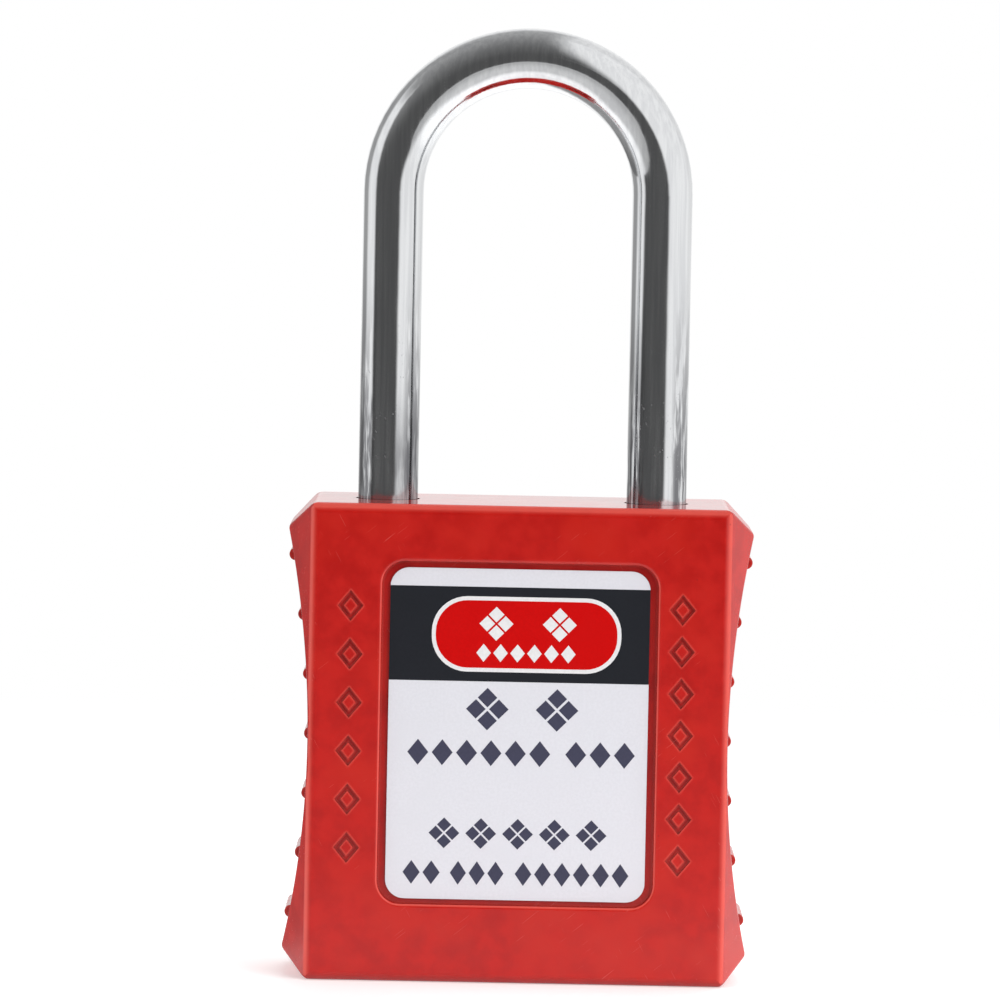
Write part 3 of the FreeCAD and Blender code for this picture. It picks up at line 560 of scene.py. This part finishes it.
def coil_spring(name, node, axis, wire, turns):
    """Round wire wound in its CAD node's box, between the body and what the spring pushes."""
    low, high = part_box(node)
    piece = add_piece(name, skin(coil_rings(low, high, axis, wire, turns)), STEEL)
    for polygon in piece.data.polygons:
        polygon.use_smooth = len(polygon.vertices) == 4
    low_end, high_end = (low + high) / 2, (low + high) / 2
    low_end[axis], high_end[axis] = low[axis], high[axis]
    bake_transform(piece)
    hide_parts(node)


def wind_springs():
    coil_spring("shackle_coil", "shackle_spring", Z_AXIS, 0.30 * MM, 7.5)
    for number in range(1, 7):
        name, node, pin = (f"driver_{kind}_{number}" for kind in ("coil", "spring", "pin"))
        coil_spring(name, node, X_AXIS, 0.13 * MM, 5)


# ---------- floor ----------
FLOOR_RADIUS = 0.42
FLOOR_GAP = 0.02 * MM
FLOOR_PALE, FLOOR_DARK = (0.90, 0.90, 0.90), (0.12, 0.12, 0.12)
FLOOR_GLOW = 0.35
DARKENING = 0.8                     # share of its light that the floor's darkest part loses


def floor_darkness(s, distance):
    """0 to 1 behind and to the left, and some way off in front, and 0 to the camera's own rays."""
    x, y, _ = s.parts(s.point)
    azimuth = s.azimuth(x, y)
    behind_left = s.product(
        s.ramp(azimuth, math.radians(-165), math.radians(-148)),
        s.ramp(azimuth, math.radians(-92), math.radians(-112)),
    )
    before = s.sector(azimuth, azimuth, -60, 35, 10)
    in_front = s.product(before, s.ramp(distance, 0.05, 0.09, 0.0, 0.6))
    camera_ray = s.add("ShaderNodeLightPath").outputs["Is Camera Ray"]
    return s.product(s.larger(behind_left, in_front), s.inverse(camera_ray))


def floor_material():
    """Pale and fading to plain white at the rim. The object sees it darker than the camera does."""
    s = Shader("pale_floor", Roughness=0.6)
    s.bump(s.noise(700, 3), 0.02 * MM, 0.3)
    length = s.add("ShaderNodeVectorMath", operation="LENGTH")
    s.put(length, 0, s.point)
    distance = length.outputs["Value"]
    kept = s.inverse(s.product(floor_darkness(s, distance), DARKENING))
    s.put(s.surface, "Base Color", s.mix(kept, FLOOR_DARK, FLOOR_PALE))
    s.put(s.surface, "Emission Color", (1.0, 1.0, 1.0))
    s.put(s.surface, "Emission Strength", s.product(kept, FLOOR_GLOW))
    white = s.add("ShaderNodeEmission")
    s.put(white, "Strength", kept)
    faded = s.add("ShaderNodeMixShader")
    s.put(faded, 0, s.ramp(distance, 0.06, 0.30))
    s.put(faded, 1, s.surface.outputs[0])
    s.put(faded, 2, white.outputs[0])
    clear_below = s.add("ShaderNodeMixShader")
    s.put(clear_below, 0, s.add("ShaderNodeNewGeometry").outputs["Backfacing"])
    s.put(clear_below, 1, faded.outputs[0])
    s.put(clear_below, 2, s.add("ShaderNodeBsdfTransparent").outputs[0])
    s.put(s.tree.nodes["Material Output"], "Surface", clear_below.outputs[0])
    return s.material


def make_floor():
    """A round floor just under the object, which a view from below sees through."""
    mesh = bpy.data.meshes.new("floor")
    disc = bmesh.new()
    bmesh.ops.create_circle(disc, cap_ends=True, segments=96, radius=FLOOR_RADIUS)
    disc.to_mesh(mesh)
    disc.free()
    mesh.materials.append(floor_material())
    floor = bpy.data.objects.new("floor", mesh)
    floor.location.z = -FLOOR_GAP
    bpy.context.scene.collection.objects.link(floor)


# ---------- world ----------
CANOPY_DARKNESS = 0.905
CANOPY_PALING = 0.235               # what the canopy loses of it towards the back and upwards
BACK_LEFT_DARKNESS = 0.62
BACK_RIGHT_DARKNESS = 0.12
FRONT_LEAN = 1.0                    # radians that the front card's right edge leans in, horizon to zenith


def card_darkness(s):
    """0 on plain white to 0.9 on the darkest card, by the direction that a ray looks in.

    A canopy goes from in front to overhead, with a gap on the left. Two cards stand behind.
    """
    x, y, z = s.parts(s.add("ShaderNodeTexCoord").outputs["Generated"])
    azimuth = s.azimuth(x, y)
    leaning = s.total(azimuth, s.product(z, FRONT_LEAN))
    above_floor = s.ramp(z, -0.42, -0.22)
    front = s.product(s.sector(azimuth, leaning, -72, 24, 6), above_floor)
    left_gap = s.product(s.ramp(x, -0.45, -0.62), s.ramp(z, 0.70, 0.50))
    overhead = s.product(s.ramp(z, 0.05, 0.30), s.ramp(x, 0.32, 0.10), s.inverse(left_gap))
    canopy = s.product(s.larger(front, overhead), s.ramp(y, 0.90, 0.60))
    paling = s.product(s.total(y, 1.0), s.ramp(z, 0.05, 0.55), CANOPY_PALING)
    shade = s.product(canopy, s.maths("SUBTRACT", CANOPY_DARKNESS, paling))
    back_left = s.product(s.sector(azimuth, azimuth, -150, -112, 8), BACK_LEFT_DARKNESS)
    back_right = s.product(s.sector(azimuth, azimuth, 118, 156, 8), BACK_RIGHT_DARKNESS)
    return s.larger(shade, s.product(s.total(back_left, back_right), above_floor))


def make_world():
    """White all round, with dark cards that the bright metal shows and the camera doesn't."""
    world = bpy.data.worlds.new("studio")
    bpy.context.scene.world = world
    world.use_nodes = True
    s = Nodes(world.node_tree)
    s.tree.nodes.clear()
    camera_ray = s.add("ShaderNodeLightPath").outputs["Is Camera Ray"]
    background = s.add("ShaderNodeBackground")
    s.put(background, "Color", (1.0, 1.0, 1.0))
    s.put(background, "Strength", s.larger(s.inverse(card_darkness(s)), camera_ray))
    s.put(s.add("ShaderNodeOutputWorld"), "Surface", background.outputs[0])


# ---------- lights and camera ----------
LIT_POINT = (0, 0, 0.035)
SOFTBOXES = {                       # place in metres, side in metres, power in watts
    "key_light": ((0.46, -0.46, 0.42), 0.45, 2.5),
    "fill_light": ((-0.52, -0.32, 0.26), 0.40, 1.35),
    "back_light": ((0.15, 0.55, 0.45), 0.45, 2.0),
}
CAMERA_ELEVATION = 3.3
CAMERA_DISTANCE = 0.660
CAMERA_ROLL = 1.14
CAMERA_AIM = Vector((-2.1 * MM, 0, OBJECT_MIDDLE + 0.13 * MM))
LENS = 250.0


def point_at(thing, target):
    """Turns a lamp or a camera towards a point and returns how it is turned."""
    thing.rotation_mode = "QUATERNION"
    thing.rotation_quaternion = (Vector(target) - thing.location).to_track_quat("-Z", "Y")
    return thing.rotation_quaternion.copy()


def add_softbox(name, place, size, watts):
    """A square area light that lights the object without showing in its polished parts."""
    light = bpy.data.lights.new(name, "AREA")
    light.size = size
    light.energy = watts
    lamp = bpy.data.objects.new(name, light)
    lamp.location = place
    lamp.visible_glossy = False
    point_at(lamp, LIT_POINT)
    bpy.context.scene.collection.objects.link(lamp)


def make_camera():
    """In front and slightly above, with a long lens and a slight roll."""
    tilt = math.radians(CAMERA_ELEVATION)
    camera = bpy.data.cameras.new("camera")
    camera.lens = LENS
    camera.sensor_width = 36
    camera.clip_start = 0.01
    camera.clip_end = 20
    viewer = bpy.data.objects.new("camera", camera)
    viewer.location = CAMERA_AIM + Vector((0, -math.cos(tilt), math.sin(tilt))) * CAMERA_DISTANCE
    roll = Quaternion((0, 0, 1), math.radians(CAMERA_ROLL))
    viewer.rotation_quaternion = point_at(viewer, CAMERA_AIM) @ roll
    bpy.context.scene.collection.objects.link(viewer)
    bpy.context.scene.camera = viewer


dress_nodes()
for label in ("front_label", "back_label"):
    print_label(label)
wind_springs()
make_floor()
make_world()
for name, (place, size, watts) in SOFTBOXES.items():
    add_softbox(name, place, size, watts)
make_camera()
bpy.context.scene.view_settings.view_transform = "Standard"
